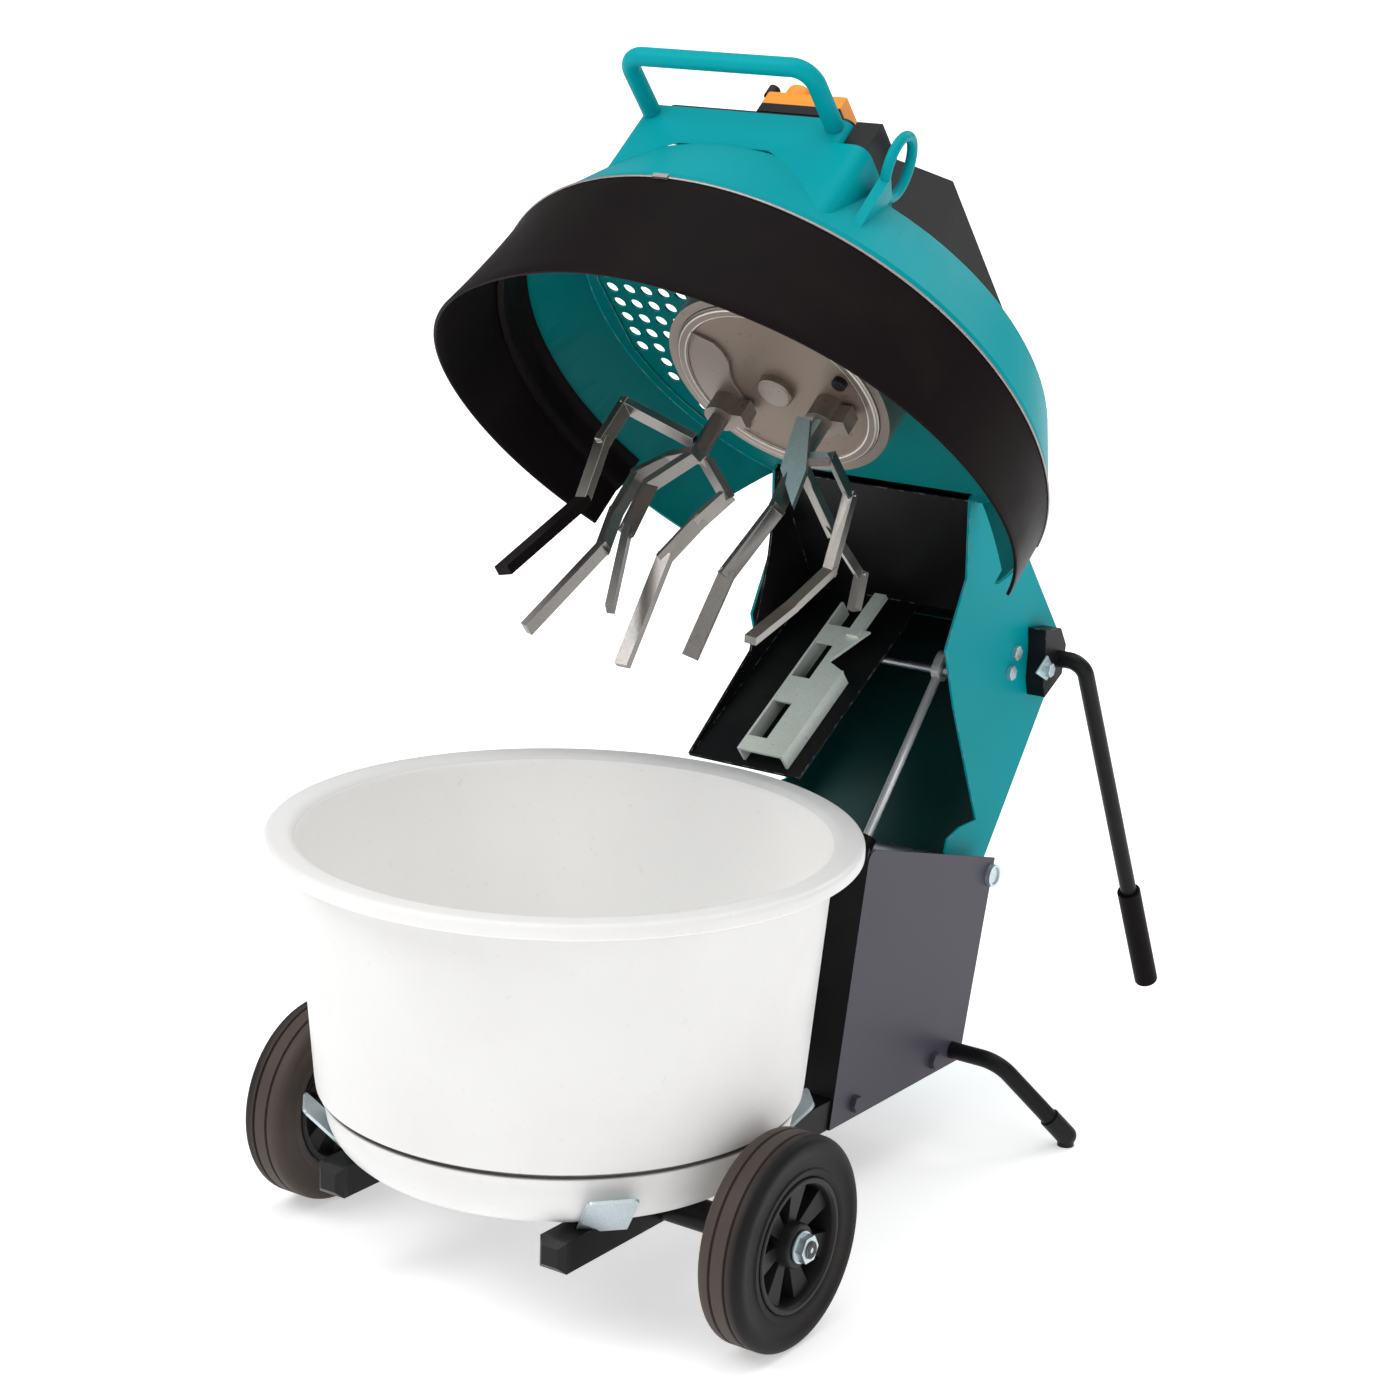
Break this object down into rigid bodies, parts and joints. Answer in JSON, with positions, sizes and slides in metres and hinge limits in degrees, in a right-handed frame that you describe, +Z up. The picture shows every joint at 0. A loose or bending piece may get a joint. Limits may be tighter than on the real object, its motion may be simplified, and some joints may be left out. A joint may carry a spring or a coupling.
{
  "type": "tub mixer",
  "caption": "Wheeled forced-action tub mixer: a tilting mixing head with a rubber-skirted hood over a loose plastic tub, on a two-wheel chassis with a swivelling arm.",
  "frame": {"origin": "on the floor under the middle of the machine's bounding box with the head open", "axes": "+X across the machine to its right seen from the tub side, -Y to the tub side, +Z up"},
  "size_m": [0.604, 1.169, 1.1198],
  "materials": {
    "turquoise_paint": "gloss powder coat",
    "black_paint": "satin powder coat",
    "grey_paint": "semi-gloss powder coat",
    "zinc": "zinc plated",
    "steel": "machined",
    "stainless": "dull stainless",
    "chrome": "polished",
    "aluminium": "cast",
    "rubber": "matte",
    "tyre": "matte",
    "tub_plastic": "slightly translucent white",
    "black_plastic": "moulded",
    "orange_plastic": "glossy",
    "green_plastic": "glossy"
  },
  "bodies": {
    "chassis": {"chassis_rails": "black_paint", "end_caps": "black_plastic", "axle_cross_tube": "black_paint", "wheel_axle": "zinc", "chassis_fasteners": "zinc", "tub_locating_tabs": "zinc", "rear_foot_bar": "black_paint", "column_base": "grey_paint", "column_side_right": "grey_paint", "column_side_left": "grey_paint", "pivot_pin": "zinc", "strut_foot_bracket": "zinc"},
    "tub": {"tub": "tub_plastic"},
    "wheel_right": {"wheel_rim_right": "black_plastic", "wheel_tyre_right": "tyre"},
    "wheel_left": {"wheel_rim_left": "black_plastic", "wheel_tyre_left": "tyre"},
    "head": {"hood": "turquoise_paint", "feed_grille": "turquoise_paint", "rubber_skirt": "rubber", "skirt_band": "zinc", "front_handle": "turquoise_paint", "front_housing": "turquoise_paint", "panel_lid": "black_plastic", "switch_housing": "black_plastic", "lashing_eye": "turquoise_paint", "motor_cover": "black_paint", "head_plate": "black_paint", "arm_cheek_right": "turquoise_paint", "arm_cheek_left": "turquoise_paint", "arm_spine": "turquoise_paint", "arm_front_panel": "black_paint", "notch_rail": "zinc", "strut_cross_rod": "zinc", "arm_bolts": "zinc", "gear_drum": "stainless", "drive_bearings": "steel", "gearbox_cover": "aluminium", "motor_housing": "aluminium", "cable_inlet": "black_plastic", "lever_clamps": "black_paint"},
    "stop_flap": {"stop_flap": "orange_plastic"},
    "start_button": {"start_button": "green_plastic"},
    "motor_rotor": {"motor_rotor": "steel"},
    "carrier": {"carrier_shaft": "steel", "output_gear": "steel", "carrier_disc": "stainless", "hub_cap": "steel", "tool_sockets": "zinc", "left_tool": "zinc", "right_tool": "zinc", "scraper_arm": "zinc", "scraper_rubber": "rubber"},
    "lever_right": {"handle_lever_right": "black_paint", "lever_grip_right": "rubber"},
    "lever_left": {"handle_lever_left": "black_paint", "lever_grip_left": "rubber"},
    "strut_tube": {"strut_cylinder": "black_paint"},
    "strut_rod": {"strut_piston_rod": "chrome"}
  },
  "joints": [
    {"name": "head_tilt", "type": "hinge", "parent": "chassis", "child": "head", "pos_m": [0, 0.23454, 0.2765], "axis": [-1, 0, 0], "range_deg": [-50, 0]},
    {"name": "tub_lift", "type": "slide", "parent": "chassis", "child": "tub", "axis": [0, 0, 1], "range_m": [0, 0.1]},
    {"name": "right_wheel_spin", "type": "hinge", "parent": "chassis", "child": "wheel_right", "pos_m": [0.267, -0.33246, 0.1], "axis": [1, 0, 0], "continuous": true},
    {"name": "left_wheel_spin", "type": "hinge", "parent": "chassis", "child": "wheel_left", "pos_m": [-0.267, -0.33246, 0.1], "axis": [1, 0, 0], "continuous": true},
    {"name": "carrier_spin", "type": "hinge", "parent": "head", "child": "carrier", "pos_m": [0, 0.02316, 0.80144], "axis": [0, 0.766, 0.6428], "continuous": true},
    {"name": "rotor_spin", "type": "hinge", "parent": "head", "child": "motor_rotor", "pos_m": [0, 0.16889, 0.79579], "axis": [0, 0.766, 0.6428], "continuous": true},
    {"name": "right_lever_fold", "type": "hinge", "parent": "head", "child": "lever_right", "pos_m": [0.17, 0.36802, 0.4838], "axis": [1, 0, 0], "range_deg": [0, 80]},
    {"name": "left_lever_fold", "type": "hinge", "parent": "head", "child": "lever_left", "pos_m": [-0.17, 0.36802, 0.4838], "axis": [1, 0, 0], "range_deg": [0, 80]},
    {"name": "stop_flap_hinge", "type": "hinge", "parent": "head", "child": "stop_flap", "pos_m": [0.048, -0.00003, 1.03132], "axis": [-1, 0, 0], "range_deg": [0, 60]},
    {"name": "start_button_press", "type": "slide", "parent": "head", "child": "start_button", "axis": [0, -0.766, -0.6428], "range_m": [0, 0.003], "stiffness_N_per_m": 300},
    {"name": "strut_swing", "type": "hinge", "parent": "chassis", "child": "strut_tube", "pos_m": [0.04, 0.03154, 0.169], "axis": [1, 0, 0], "range_deg": [0, 22.45]},
    {"name": "strut_stroke", "type": "slide", "parent": "strut_tube", "child": "strut_rod", "axis": [0, 0.6565, 0.7543], "range_m": [-0.10716, 0]}
  ],
  "couplings": [
    {"joint": "rotor_spin", "follows": "carrier_spin", "ratio": -6},
    {"joint": "strut_swing", "follows": "head_tilt", "ratio": -0.44699},
    {"joint": "strut_stroke", "follows": "head_tilt", "m_per_rad": 0.12222}
  ]
}
